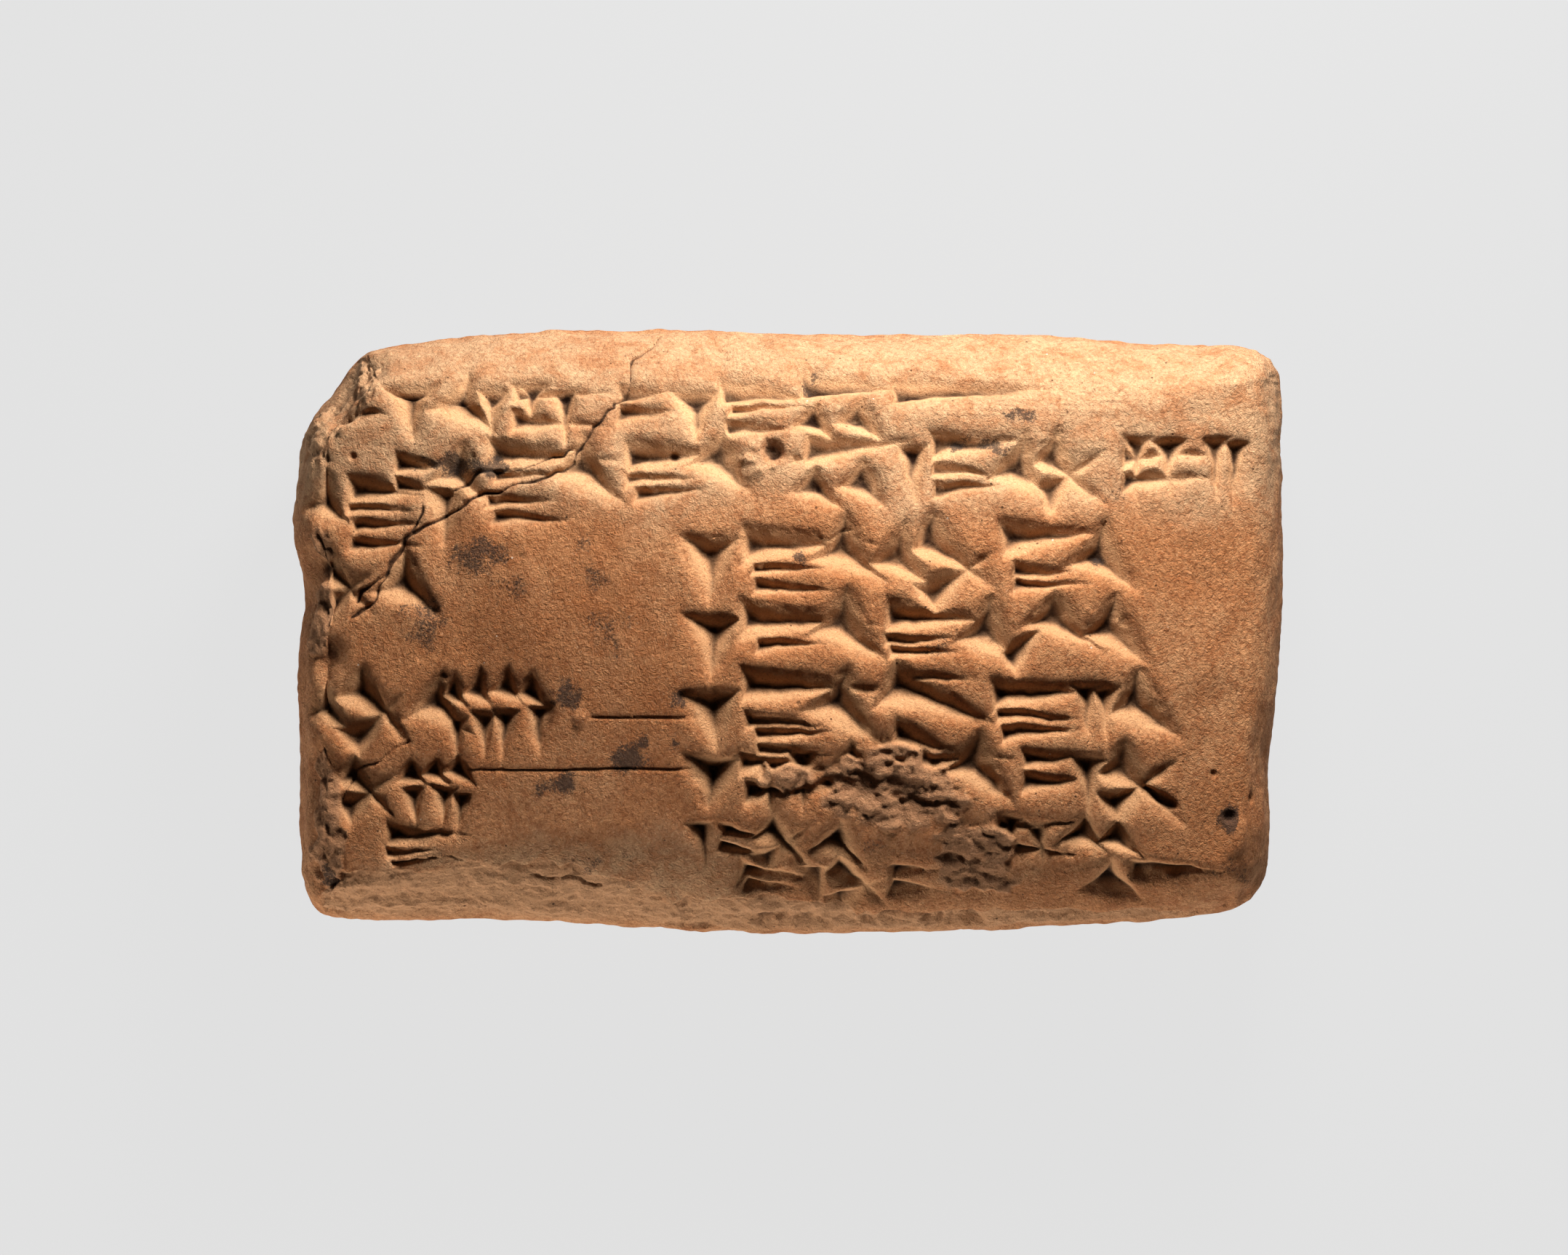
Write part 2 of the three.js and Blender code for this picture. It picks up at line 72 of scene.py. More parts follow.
# Handwriting, the same as in the solid
STROKE_TALL = 4.4  # an upright press, from head to tail
LINE_TILT = 0.012  # each line climbs this much per millimetre
EDGE_MARGIN = 0.6  # no press comes nearer than this to the outline, but for the lower edge
LOWER_EDGE = -0.7  # the way out points at least this much down along the lower edge
SLOP = 0.08  # unsteadiness of the hand, as a share of a press
NOSE_WIDE = 0.3  # the deepest point lies this share of the width from the head,
NOSE_LONG = 0.25  # and at most this share of the length

# The ways that a press points
DOWN = -math.pi / 2
RIGHT = 0.0
FALL = -0.72  # slanting down to the right
RISE = 0.62  # slanting up to the right
LEAN = -0.4  # slanting a little down


def repeat(count, make):
    return [make(i) for i in range(count)]


# Each mark gives its width and its presses, (x, y, angle, length, width, depth), in stroke heights.
MARKS = {
    "post": lambda n: (0.84, [(0.42, 0.02, DOWN, 0.97, 0.92, 0.28)]),
    "slim": lambda n: (0.45, [(0.22, 0.02, DOWN, 0.95, 0.58, 0.24)]),
    "comb": lambda n: (0.3 * n + 0.1, repeat(n, lambda i: (0.18 + 0.3 * i, 0.02, DOWN, 0.95, 0.44, 0.22))),
    "dash": lambda n: (0.75, repeat(n, lambda i: (0, -0.1 - 0.3 * i, RIGHT, 0.9, 0.4, 0.19))),
    "bars": lambda n: (
        1.15,
        [(0, -0.06, RIGHT, 1.45, 0.56, 0.26)]
        + repeat(n - 1, lambda i: (0.08, -0.38 - 0.24 * i, RIGHT, 1.1, 0.32, 0.18)),
    ),
    "gate": lambda n: (
        2.0,
        [(0, -0.04, RIGHT, 2.0, 0.62, 0.27)]
        + repeat(n, lambda i: (0.12, -0.4 - 0.24 * i, RIGHT, 1.15, 0.32, 0.18))
        + [(1.2, 0.02, FALL, 1.1, 0.95, 0.32)],
    ),
    "grid": lambda n: (
        1.35,
        repeat(2, lambda i: (0, -0.1 - 0.4 * i, RIGHT, 1.5, 0.44, 0.2))
        + repeat(n, lambda i: (0.32 + (0.9 / n) * i, 0.06, DOWN, 0.98, 0.5, 0.24)),
    ),
    "hook": lambda n: (0.55 * n, repeat(n, lambda i: (0.02 + 0.55 * i, -0.1, FALL, 1.0, 0.95, 0.31))),
    "fan": lambda n: (1.15, [(0, 0.04, FALL, 1.3, 0.8, 0.3), (0, -0.84, RISE, 1.2, 0.7, 0.27)]),
    "wing": lambda n: (1.5, [(0, 0.04, LEAN, 1.8, 0.78, 0.3), (0.1, -0.62, LEAN, 1.1, 0.46, 0.2)]),
    "peak": lambda n: (1.2, [(0, -0.74, RISE, 1.0, 0.6, 0.25), (0.55, 0.02, FALL, 1.1, 0.8, 0.31)]),
    "leaf": lambda n: (
        1.3,
        [(0, 0.0, RIGHT, 1.6, 0.6, 0.27), (0.05, -0.45, FALL, 0.8, 0.64, 0.25),
         (0.62, -0.4, FALL, 0.8, 0.64, 0.25)],
    ),
    "crest": lambda n: (
        0.42 * n + 0.1,
        repeat(n, lambda i: (0.42 * i, 0.04, FALL, 0.56, 0.6, 0.26))
        + repeat(n, lambda i: (0.22 + 0.42 * i, -0.36, DOWN, 0.8, 0.46, 0.23)),
    ),
    "beam": lambda n: (0.6 * n, [(0, -0.06, RIGHT, 0.6 * n, 0.5, 0.24)]),
}

# Each line gives its top, its size and its runs of marks: (where a run starts, its marks). Tops and
# starts are shares of the half width and the half length.
FACE_LINES = [
    (0.83, 1.1, [(-0.93, "dash2 post hook1 slim grid2"), (-0.36, "dash2 post bars3 leaf beam4")]),
    (0.6, 1.05, [(-0.8, "dash2 hook1 gate3"),
                 (-0.34, "gate2 dash1 leaf slim bars3 hook1 fan grid2 comb2")]),
    (0.5, 1.0, [(-0.97, "hook1 bars4 post")]),
    (0.25, 1.0, [(-0.96, "fan hook1")]),
    (0.3, 1.1, [(-0.215, "post gate2 hook1 fan bars3 hook1")]),
    (0.055, 1.1, [(-0.215, "post gate1 bars4 hook1 peak hook1")]),
    (-0.17, 1.0, [(-0.97, "hook1 fan hook1"), (-0.7, "crest4")]),
    (-0.19, 1.1, [(-0.215, "post gate3 wing bars3 comb2 hook1")]),
    (-0.42, 1.1, [(-0.215, "post grid2 hook1 gate2 dash2 slim fan")]),
    (-0.44, 0.9, [(-0.91, "fan crest3")]),
    (-0.64, 0.85, [(-0.82, "bars3"), (-0.19, "slim dash2 fan hook1"), (0.42, "grid2 hook2")]),
    (-0.8, 0.85, [(-0.1, "bars2 slim fan dash2"), (0.62, "hook1 beam3")]),
    (-1.0, 0.6, [(-0.06, "comb3 hook1 slim hook2 bars2 comb3 hook1")]),
]
BACK_LINES = [
    (0.74, 0.9, [(-0.72, "slim bars2 hook1 fan post comb2 gate2 dash1 hook1")]),
    (0.42, 0.9, [(-0.7, "post bars2 hook2 dash3 slim fan gate1")]),
    (0.1, 0.9, [(-0.7, "post fan bars2 hook1")]),
]

# The two ruled lines: start, end and height, as shares of the half sizes
RULES = [(-0.395, -0.16, -0.285), (-0.66, -0.16, -0.455)]
RULE_HALF = 0.14  # half the width of a ruled line, in millimetres
RULE_DEEP = 0.24

# The long crack as shares of the half sizes. It wanders more than the solid's, and its first points lie
# down the rounded top edge.
CRACK = [
    (-0.205, 1.24), (-0.235, 1.15), (-0.262, 1.02), (-0.302, 0.94), (-0.325, 0.84), (-0.342, 0.76),
    (-0.34, 0.74), (-0.395, 0.69), (-0.42, 0.6), (-0.45, 0.52), (-0.53, 0.49), (-0.62, 0.44),
    (-0.7, 0.37), (-0.755, 0.31), (-0.79, 0.25), (-0.83, 0.18), (-0.87, 0.1),
]
CRACK_HALF = 0.11  # half its width, in millimetres
CRACK_DEEP = 0.45

# The solid's large chips: middle as shares of the half sizes, then half sizes along X, Y and Z and how
# far the middle stands above the surface, as shares of the half width
CHIPS = [
    (-0.95, 0.8, (0.2, 0.31, 0.29), 0.24),
    (-0.87, 0.93, (0.22, 0.16, 0.24), 0.2),
    (-1.0, 0.14, (0.125, 0.2, 0.19), 0.145),
    (-0.94, -0.09, (0.105, 0.095, 0.115), 0.063),
    (-0.97, -0.5, (0.22, 0.265, 0.29), 0.245),
    (-0.96, -0.78, (0.185, 0.24, 0.29), 0.235),
    (-0.72, -0.93, (0.46, 0.22, 0.29), 0.255),
    (-0.38, -0.95, (0.41, 0.21, 0.29), 0.26),
    (-0.1, -1.04, (0.29, 0.125, 0.19), 0.16),
    (0.2, -0.54, (0.385, 0.175, 0.24), 0.205),
    (0.38, -0.76, (0.25, 0.24, 0.24), 0.2),
]
CHIP_SOFT = 0.45  # how far the edges of the chips are softened
CHIP_FILL = 0.7  # share of a chip's depth that torn clay fills again

# Finer relief, in millimetres
PRESS_RIM = 0.09  # how far the rim of a press is rounded, as a share of the press
SWELL = 0.8  # how much of the clay that a press moves stands up round it
SWELL_SPREAD = 1.3
SHOULDER = 0.3  # how far the clay round a press sags towards it
SHOULDER_SPREAD = 0.45
FULL_PRESS = 0.35  # a press this deep counts as wholly pressed
PRESS_CALM = 0.7  # how much of the clay's own texture a press takes away
SHAKE = 0.07  # how far the edges of the presses waver
GRIT = 0.03  # how far grit moves the edges of the presses
FACE_SWELLS = 0.065
BACK_SWELLS = 0.05
BUMPS = 0.02
DENTS = 0.025
NICKS = 0.05  # nicks in the rims of the presses
WIPING = 0.018  # streaks along the head of the face
LAST_BLUR = {"face": 0.035, "back": 0.05}
EDGE_WAVES = [(3.5, 81, 0.05), (1.3, 82, 0.025)]  # blobs on the edges: size, seed and height

# Torn clay: how much of the presses it takes away; its ledges as size, seed, stretch and height; how
# high its shards stand; and how far the whole lies above the face
TORN = {
    "crumble": (0.85, [(0.45, 54, 2.0, 0.055), (0.16, 58, 1.5, 0.06)], 0.06, 0.03),
    "flake": (0.6, [(0.5, 57, 3.0, 0.06), (0.18, 64, 1.5, 0.035)], 0.05, -0.36),
    "spall": (0.7, [(0.5, 56, 0.8, 0.06), (0.18, 59, 1.0, 0.05)], 0.04, -0.03),
}

# Small cracks: points along each, half its width and its depth
HAIRLINES = [
    ([(-14.0, 12.6), (-15.6, 11.9), (-17.6, 11.4), (-20.4, 10.9), (-22.8, 9.6)], 0.09, 0.4),
    ([(-24.9, 8.3), (-25.6, 6.4), (-27.1, 5.0), (-28.2, 2.6), (-29.6, 1.2)], 0.11, 0.45),
    ([(-30.6, -11.2), (-29.5, -9.6), (-27.8, -8.9), (-26.0, -7.5)], 0.08, 0.35),
    ([(1.6, 7.0), (3.0, 6.4), (4.6, 6.9)], 0.07, 0.3),
    ([(-6.3, -2.7), (-5.4, -3.1), (-5.1, -3.9)], 0.06, 0.25),
    ([(24.3, -10.4), (25.2, -10.9), (26.2, -11.8)], 0.2, 0.45),
    ([(-17.6, -17.3), (-15.0, -17.5), (-12.6, -17.9)], 0.12, 0.3),
    ([(-26.0, -15.6), (-22.5, -15.9), (-19.5, -15.7)], 0.08, 0.2),
]

# Pits: where each is, its radius and its depth. The last two are knobs, and stand up.
PITS = [
    (-29.7, 11.9, 0.24, 0.3), (-23.5, -3.0, 0.26, 0.25), (29.0, -9.7, 0.2, 0.25), (30.1, -12.7, 0.42, 0.35),
    (32.7, -11.3, 0.3, 0.2), (-32.6, -17.5, 0.6, 0.3), (-0.8, 12.3, 0.45, 0.6), (-7.8, 12.0, 0.3, 0.25),
    (22.9, 0.6, 0.2, 0.15), (-18.2, 5.0, 0.25, 0.12), (-14.2, -5.9, 0.5, -0.28), (30.8, -14.0, 1.0, -0.3),
]

# Ellipses that make up the torn areas and the areas of painted shade and painted light: middle, half sizes
# and turn
AREAS = {
    "crumble": [
        ((7.5, -11.0), (7.6, 2.6), -0.12), ((12.6, -15.6), (3.6, 3.2), 0.2), ((-1.6, 11.8), (1.9, 1.3), 0.3),
    ],
    "spall": [
        ((-32.4, -13.2), (2.1, 6.2), 0.0), ((-32.0, 15.0), (3.2, 4.6), -0.5),
        ((-32.3, 5.6), (1.3, 1.6), 0.0), ((-32.9, 1.2), (1.6, 3.0), 0.0),
    ],
    "flake": [
        ((-20.5, -20.5), (14.0, 4.4), -0.02), ((-3.5, -20.8), (9.0, 2.0), 0.0),
        ((13.0, -22.2), (16.0, 2.4), 0.02),
    ],
    "brown_and_shade": [((-14.5, -3.0), (14.0, 11.0), 0.0), ((10.0, -12.0), (23.0, 6.5), 0.0)],
    "painted_low_light": [((-14.0, -17.2), (18.5, 4.6), 0.0)],
}

# Stains of soot: middle, half sizes and strength
STAINS = [
    ((-22.6, 11.5), (3.0, 0.9), 0.9), ((-20.6, 5.2), (2.4, 1.4), 0.8), ((-24.7, 0.6), (1.8, 1.4), 0.7),
    ((-19.0, 3.3), (1.8, 1.3), 0.7), ((-13.4, 3.7), (1.7, 1.2), 0.7), ((-12.4, -0.2), (1.6, 1.7), 0.6),
    ((-7.9, -4.6), (0.9, 0.7), 0.8), ((-16.2, 2.2), (1.2, 0.8), 0.5), ((-13.4, -15.8), (2.8, 1.3), 0.6),
    ((15.1, 14.6), (2.0, 1.1), 0.8), ((1.6, 17.5), (1.5, 0.8), 0.7), ((12.9, 12.7), (2.5, 0.7), 0.9),
    ((0.8, 4.9), (1.2, 0.6), 1.0), ((21.0, 4.7), (0.9, 0.8), 0.8), ((10.5, -1.3), (1.2, 1.2), 0.6),
    ((-14.9, -4.3), (1.0, 1.0), 0.9), ((-15.4, -10.1), (1.8, 1.1), 0.9), ((-10.5, -8.8), (2.3, 1.1), 1.0),
    ((-14.0, 6.0), (0.9, 0.8), 0.6), ((-20.0, -7.0), (1.2, 0.9), 0.4), ((22.5, 9.0), (1.6, 1.0), 0.5),
    ((-3.0, 14.5), (1.4, 0.8), 0.4), ((30.2, -12.6), (1.0, 1.0), 0.9), ((-32.4, -17.4), (1.0, 1.2), 0.8),
    ((6.0, -14.5), (1.6, 0.9), 0.5), ((19.0, 15.2), (1.2, 0.5), 0.4), ((31.5, -16.8), (2.4, 1.6), 0.55),
]

# Tones of the clay, each from 0 to 255
TONES = {
    "clay": (201, 141, 94),
    "light_clay": (213, 158, 112),
    # painted shade on the face; a browner tone at random on the reverse
    "brown_and_shade": (166, 110, 68),
    # painted light: the paler top band and lower left
    "painted_light": (210, 168, 128),
    "cloud": (182, 117, 71),
    "blotch": (164, 103, 62),
    "mottle": (158, 96, 56),
    "pressed": (222, 174, 128),
    # flaked and broken clay is paler, and these tones are lightened further as painted light
    "flaked": (224, 172, 128),
    "broken": (198, 150, 112),
    "dark_grain": (120, 70, 40),
    "light_grain": (240, 205, 165),
    # painted shade in the hollows of the presses and in the cracks
    "hollow_shade": (52, 30, 17),
    "soot": (66, 56, 50),
    "speck": (242, 226, 204),
    "dot": (64, 38, 22),
}
TEXTURE_TURN = (0.6, 0.4, 0.7)  # keeps the lattice of the noise from lining up with the face
BUMP_HIGH = 0.0003

# Stage, in metres but for the lens and its sensor, which are in millimetres
LENS = 300
SENSOR = 36
FRAME_WIDE = 0.1078  # width of the picture at the height of the outline
CAMERA_X = -0.0003
CAMERA_Y = 0.00025
LIGHT_AIM = 0.006  # height that the lights face
# Each light: azimuth (90 is beyond the top edge), elevation, distance, width and height, power, tint
LIGHTS = {
    "key": (74, 34.5, 0.13, (0.045, 0.045), 0.345, (1.0, 1.0, 1.0)),
    "fill": (250, 0, 0.15, (0.2, 0.008), 0.2, (1.0, 0.97, 0.93)),
}
FLOOR_HALF = 3
FLOOR_GLOW = 0.77
ROOM_GLOW = 0.02
GAMMA = 0.88

# Mesh and relief sheet
SHEET_U = 43.0
SHEET_V = 29.0
SHEET_CELL = 0.06
MESH_CELL = 0.115
MOST_TRIANGLES = 190000
SEAM_FADE = 0.3  # the relief fades out over this angle above the seam of face and reverse


def wobble(n):
    """A repeatable number from -1 to 1 for the nth thing that needs one"""
    s = math.sin((n + 1) * 12.9898) * 43758.5453
    return 2 * (s - math.floor(s)) - 1


def smooth(low, high, value):
    t = np.clip((value - low) / (high - low), 0, 1)
    return t * t * (3 - 2 * t)


def outline_line():
    """The outline as a closed smooth line of points in millimetres, clockwise, centred on the origin"""
    knots = np.array(OUTLINE) * [LENGTH / 2, WIDTH / 2]
    before, after, last = (np.roll(knots, shift, axis=0) for shift in (1, -1, -2))
    stretches = ((before, knots), (knots, after), (after, last))
    gap = [np.sqrt(np.linalg.norm(b - a, axis=1))[:, None] for a, b in stretches]
    leaving = (knots - before) / gap[0] - (after - before) / (gap[0] + gap[1]) + (after - knots) / gap[1]
    coming = (after - knots) / gap[1] - (last - knots) / (gap[1] + gap[2]) + (last - after) / gap[2]
    w = (np.arange(OUTLINE_STEPS) / OUTLINE_STEPS)[None, :, None]
    k, a, p, q = (one[:, None, :] for one in (knots, after, leaving * gap[1], coming * gap[1]))
    line = k + p * w + (3 * (a - k) - 2 * p - q) * w**2 + (2 * (k - a) + p + q) * w**3
    line = line.reshape(-1, 2)
    low, high = line.min(0), line.max(0)
    return (line - (low + high) / 2) * [LENGTH, WIDTH] / (high - low)


# The outline's points, and the point after each
LINE = outline_line()
NEXT = np.roll(LINE, -1, axis=0)


def nearest(x, y):
    """The outline's nearest point, the way out of the clay and how far inside the outline (x, y) is"""
    flat_x, flat_y = np.ravel(x), np.ravel(y)
    edge = NEXT - LINE
    size = (edge**2).sum(1)
    way = np.stack([-edge[:, 1], edge[:, 0]], 1) / np.sqrt(size)[:, None]
    found = np.empty((flat_x.size, 5))
    for start in range(0, flat_x.size, 20000):
        rows = slice(start, start + 20000)
        dx = flat_x[rows, None] - LINE[:, 0]
        dy = flat_y[rows, None] - LINE[:, 1]
        share = np.clip((dx * edge[:, 0] + dy * edge[:, 1]) / size, 0, 1)
        off_x = dx - share * edge[:, 0]
        off_y = dy - share * edge[:, 1]
        gap = off_x**2 + off_y**2
        best = gap.argmin(1)
        row = np.arange(best.size)
        off_x, off_y, gap = off_x[row, best], off_y[row, best], np.sqrt(gap[row, best])
        inside = off_x * way[best, 0] + off_y * way[best, 1] <= 0
        sign = np.where(inside, -1.0, 1.0) / np.maximum(gap, 1e-9)
        close = gap < 1e-6
        nx = np.where(close, way[best, 0], off_x * sign)
        ny = np.where(close, way[best, 1], off_y * sign)
        found[rows] = np.stack(
            [flat_x[rows] - off_x, flat_y[rows] - off_y, nx, ny, np.where(inside, gap, -gap)], 1
        )
    return [column.reshape(np.shape(x)) for column in found.T]


def roll_width(x, y):
    sideways = np.abs(2 * x / LENGTH) ** ROLL_TURN
    upright = np.abs(2 * y / WIDTH) ** ROLL_TURN
    side_roll = np.where(x > 0, ROLL["right"], ROLL["left"])
    end_roll = np.where(y > 0, ROLL["top"], ROLL["bottom"])
    return (sideways * side_roll + upright * end_roll + 1e-9) / (sideways + upright + 1e-9)


def full_height(x, y, side):
    """Height of the written face (side 1) or of the reverse (side -1), without the rounded edge"""
    plateau = np.clip((1 - (2 * x / LENGTH) ** 2) * (1 - (2 * y / WIDTH) ** 2), 0, 1)
    if side > 0:
        return THICKNESS - FACE_CROWN * (1 - plateau)
    return np.maximum(0, BACK_CROWN * (1 - plateau) - BACK_FLAT)


def reach(x, y):
    """How far the outline is from the origin in the direction of (x, y)"""
    angles = np.unwrap(np.arctan2(LINE[:, 1], LINE[:, 0]))[::-1]
    line = LINE[::-1]
    turn = 2 * math.pi
    angle = (np.arctan2(y, x) - angles[0]) % turn + angles[0]
    after = np.searchsorted(angles, angle, side="right") % len(line)
    a, b = line[after - 1], line[after]
    ex, ey = (b - a)[..., 0], (b - a)[..., 1]
    return (a[..., 0] * ey - a[..., 1] * ex) / (np.cos(angle) * ey - np.sin(angle) * ex)


def mesh_lines(half, low_roll, high_roll):
    """Mesh lines from -1 to 1: even over the face, and even round each rounded edge"""
    rise = THICKNESS / 2

    def rounded(roll):
        cells = math.ceil((roll + rise) / 2 * (math.pi / 2) / MESH_CELL)
        return roll / half * (1 - np.cos(np.arange(cells) / cells * (math.pi / 2)))

    start, stop = -1 + low_roll / half, 1 - high_roll / half
    cells = math.ceil((stop - start) * half / MESH_CELL)
    even = np.linspace(start, stop, cells + 1)
    return np.concatenate([-1 + rounded(low_roll), even, 1 - rounded(high_roll)[::-1]])


def pillow(side):
    """Points of the plain tablet, the way out at each, its place on the relief sheet and how much of
    the relief it takes"""
    us = mesh_lines(LENGTH / 2, ROLL["left"], ROLL["right"])
    vs = mesh_lines(WIDTH / 2, ROLL["bottom"], ROLL["top"])
    u, v = np.meshgrid(us, vs)
    flat_x, flat_y = u * LENGTH / 2, v * WIDTH / 2
    ring = np.maximum(np.abs(u), np.abs(v))
    pull = reach(flat_x, flat_y) * ring / np.maximum(np.hypot(flat_x, flat_y), 1e-9)
    grow = 1 + (pull - 1) * ring**CORNER_HOLD
    x, y = flat_x * grow, flat_y * grow
    qx, qy, nx, ny, inset = nearest(x, y)
    rim = ring > 1 - 1e-9
    inset = np.where(rim, 0, np.maximum(inset, 0))
    roll = roll_width(x, y)
    around = np.arccos(1 - np.clip(inset / roll, 0, 1))
    rise = full_height(x, y, side) - EQUATOR
    points = np.stack([x, y, EQUATOR + rise * np.sin(around)], -1)
    out = np.cross(np.gradient(points, axis=1), np.gradient(points, axis=0)) * side
    out[rim] = np.stack([nx, ny, np.zeros_like(nx)], -1)[rim]
    out /= np.linalg.norm(out, axis=-1, keepdims=True)
    arc = (roll + np.abs(rise)) / 2 * (math.pi / 2)
    unrolled = np.where(inset < roll, roll - arc * (1 - 2 * around / math.pi), inset)
    sheet_u = np.where(inset < roll, qx - nx * unrolled, x)
    sheet_v = np.where(inset < roll, qy - ny * unrolled, y)
    return points, out, sheet_u, sheet_v, smooth(0, SEAM_FADE, around)


# The relief sheet
U, V = np.meshgrid(np.arange(-SHEET_U, SHEET_U, SHEET_CELL), np.arange(-SHEET_V, SHEET_V, SHEET_CELL))


def blur(field, spread, stretch=1.0):
    """The field smoothed over that spread in millimetres, and over stretch times as much along u"""
    fy = np.fft.fftfreq(field.shape[0], SHEET_CELL)[:, None]
    fx = np.fft.rfftfreq(field.shape[1], SHEET_CELL)[None] * stretch
    bell = np.exp(-2 * (math.pi * spread) ** 2 * (fx**2 + fy**2))
    return np.fft.irfft2(np.fft.rfft2(field) * bell, s=field.shape)


def noise(spread, seed, stretch=1.0):
    """Even noise with blobs of that size, drawn out along u by stretch"""
    field = blur(np.random.default_rng(seed).standard_normal(U.shape), spread, stretch)
    return field / field.std()


def presses(lines):
    """Every press of those lines: x, y, angle, length, width and depth"""
    made = []
    for top, size, runs in lines:
        tall = STROKE_TALL * size
        for start, words in runs:
            pen = start * LENGTH / 2
            for word in words.split():
                name, count = re.fullmatch(r"([a-z]+)(\d*)", word).groups()
                wide, strokes = MARKS[name](int(count or 1))
                for px, py, angle, length, width, depth in strokes:
                    n = len(made) * 4
                    x = pen + tall * px
                    made.append((
                        x + SLOP * tall * wobble(n),
                        top * WIDTH / 2 + tall * py + LINE_TILT * x + SLOP * tall * wobble(n + 1),
                        angle + SLOP * wobble(n + 2),
                        tall * length * (1 + SLOP * wobble(n + 3)),
                        tall * width,
                        tall * depth,
                    ))
                pen += tall * wide
    return [p for p in made if fits(*p[:4])]


def fits(x, y, angle, length):
    """Whether a press has clay under both its ends; the writing runs on only over the lower edge."""
    ends = np.array([0, length])
    _, _, _, ny, inset = nearest(x + ends * math.cos(angle), y + ends * math.sin(angle))
    return bool(np.all((inset > EDGE_MARGIN) | (ny < LOWER_EDGE)))


def window(x, y, reach_out):
    """The part of the sheet within reach_out of (x, y)"""
    i0 = max(0, int((x - reach_out + SHEET_U) / SHEET_CELL))
    j0 = max(0, int((y - reach_out + SHEET_V) / SHEET_CELL))
    i1 = int((x + reach_out + SHEET_U) / SHEET_CELL) + 2
    j1 = int((y + reach_out + SHEET_V) / SHEET_CELL) + 2
    return slice(j0, j1), slice(i0, i1)


def surface(depth):
    """Height of pressed clay: it swells between the presses, and sags in a soft shoulder towards each"""
    sag = np.clip(2 * blur(smooth(0.02, 0.12, depth), SHOULDER_SPREAD), 0, 1)
    return SWELL * blur(depth, SWELL_SPREAD) - SHOULDER * sag - depth


def carve(lines):
    """Depth of the presses: three faces that meet in the deepest point, with their rims rounded"""
    depth_map = np.zeros_like(U)
    shaken_u = U + SHAKE * noise(0.7, 91) + GRIT * noise(0.22, 92)
    shaken_v = V + SHAKE * noise(0.7, 93) + GRIT * noise(0.22, 94)
    for x, y, angle, length, width, depth in presses(lines):
        area = window(x, y, length + width)
        c, s = math.cos(angle), math.sin(angle)
        forward = (shaken_u[area] - x) * c + (shaken_v[area] - y) * s
        sideways = (shaken_v[area] - y) * c - (shaken_u[area] - x) * s
        low = min(NOSE_WIDE * width, NOSE_LONG * length)
        flank = width / 2 * (1 - forward / length)
        share = np.minimum(forward / low, (flank - np.abs(sideways)) / (width / 2 * (1 - low / length)))
        rounded = PRESS_RIM * np.logaddexp(0, share / PRESS_RIM)
        depth_map[area] = np.maximum(depth_map[area], depth * rounded)
    return depth_map


def line_distance(points, u, v):
    """Distance to a line of points"""
    best = np.full(u.shape, np.inf)
    for (ax, ay), (bx, by) in zip(points, points[1:]):
        ex, ey = bx - ax, by - ay
        share = np.clip(((u - ax) * ex + (v - ay) * ey) / math.hypot(ex, ey) ** 2, 0, 1)
        best = np.minimum(best, np.hypot(u - ax - share * ex, v - ay - share * ey))
    return best


def area_mask(shapes, ragged, seed, soft=0.25):
    """1 inside the ellipses and 0 outside, with a ragged border"""
    border = noise(0.9, seed) * 0.6 + noise(0.3, seed + 1) * 0.4
    mask = np.zeros_like(U)
    for (x, y), (along, across), turn in shapes:
        c, s = math.cos(turn), math.sin(turn)
        du, dv = U - x, V - y
        share = np.hypot((du * c + dv * s) / along, (dv * c - du * s) / across)
        mask = np.maximum(mask, smooth(0, soft, 1 - share + ragged * border))
    return mask


def chip_depth():
    """Depth of the chips: the undersides of flattened balls that stand above the surface"""
    bite = np.zeros_like(U)
    half = WIDTH / 2
    for x, y, (hx, hy, hz), lift in CHIPS:
        share = ((U - x * LENGTH / 2) / (hx * half)) ** 2 + ((V - y * half) / (hy * half)) ** 2
        bite = np.maximum(bite, half * (hz * np.sqrt(np.clip(1 - share, 0, 1)) - lift))
    return blur(bite, CHIP_SOFT)


def crack_depth():
    """Depth of the long crack and the small ones; each wanders and changes in width along its way"""
    wander_u, wander_v = noise(0.45, 21) * 0.16, noise(0.45, 22) * 0.16
    uneven = noise(0.8, 23)
    depth = np.zeros_like(U)
    main = [(x * LENGTH / 2, y * WIDTH / 2) for x, y in CRACK]
    for points, half, deep in [(main, CRACK_HALF, CRACK_DEEP)] + HAIRLINES:
        gap = line_distance(points, U + wander_u, V + wander_v)
        here = half * np.clip(0.75 + 0.4 * uneven, 0.3, 2)
        depth = np.maximum(depth, deep * np.clip(1 - gap / here, 0, 1) ** 0.6)
    return depth


def rule_depth():
    """Depth of the two ruled lines, drawn with a fine edge"""
    depth = np.zeros_like(U)
    shake = noise(1.5, 31) * 0.05
    for start, stop, y in RULES:
        x0, x1, level = start * LENGTH / 2, stop * LENGTH / 2, y * WIDTH / 2
        beyond = np.maximum(0, np.maximum(x0 - U, U - x1))
        gap = np.hypot(V - level + shake, beyond)
        depth = np.maximum(depth, RULE_DEEP * np.clip(1 - gap / RULE_HALF, 0, 1))
    return depth


def ledges(spread, seed, stretch):
    """Torn clay: layers that end in small steep edges"""
    field = noise(spread, seed, stretch) * 1.4
    whole = np.floor(field)
    return whole + smooth(0.6, 1.0, field - whole)


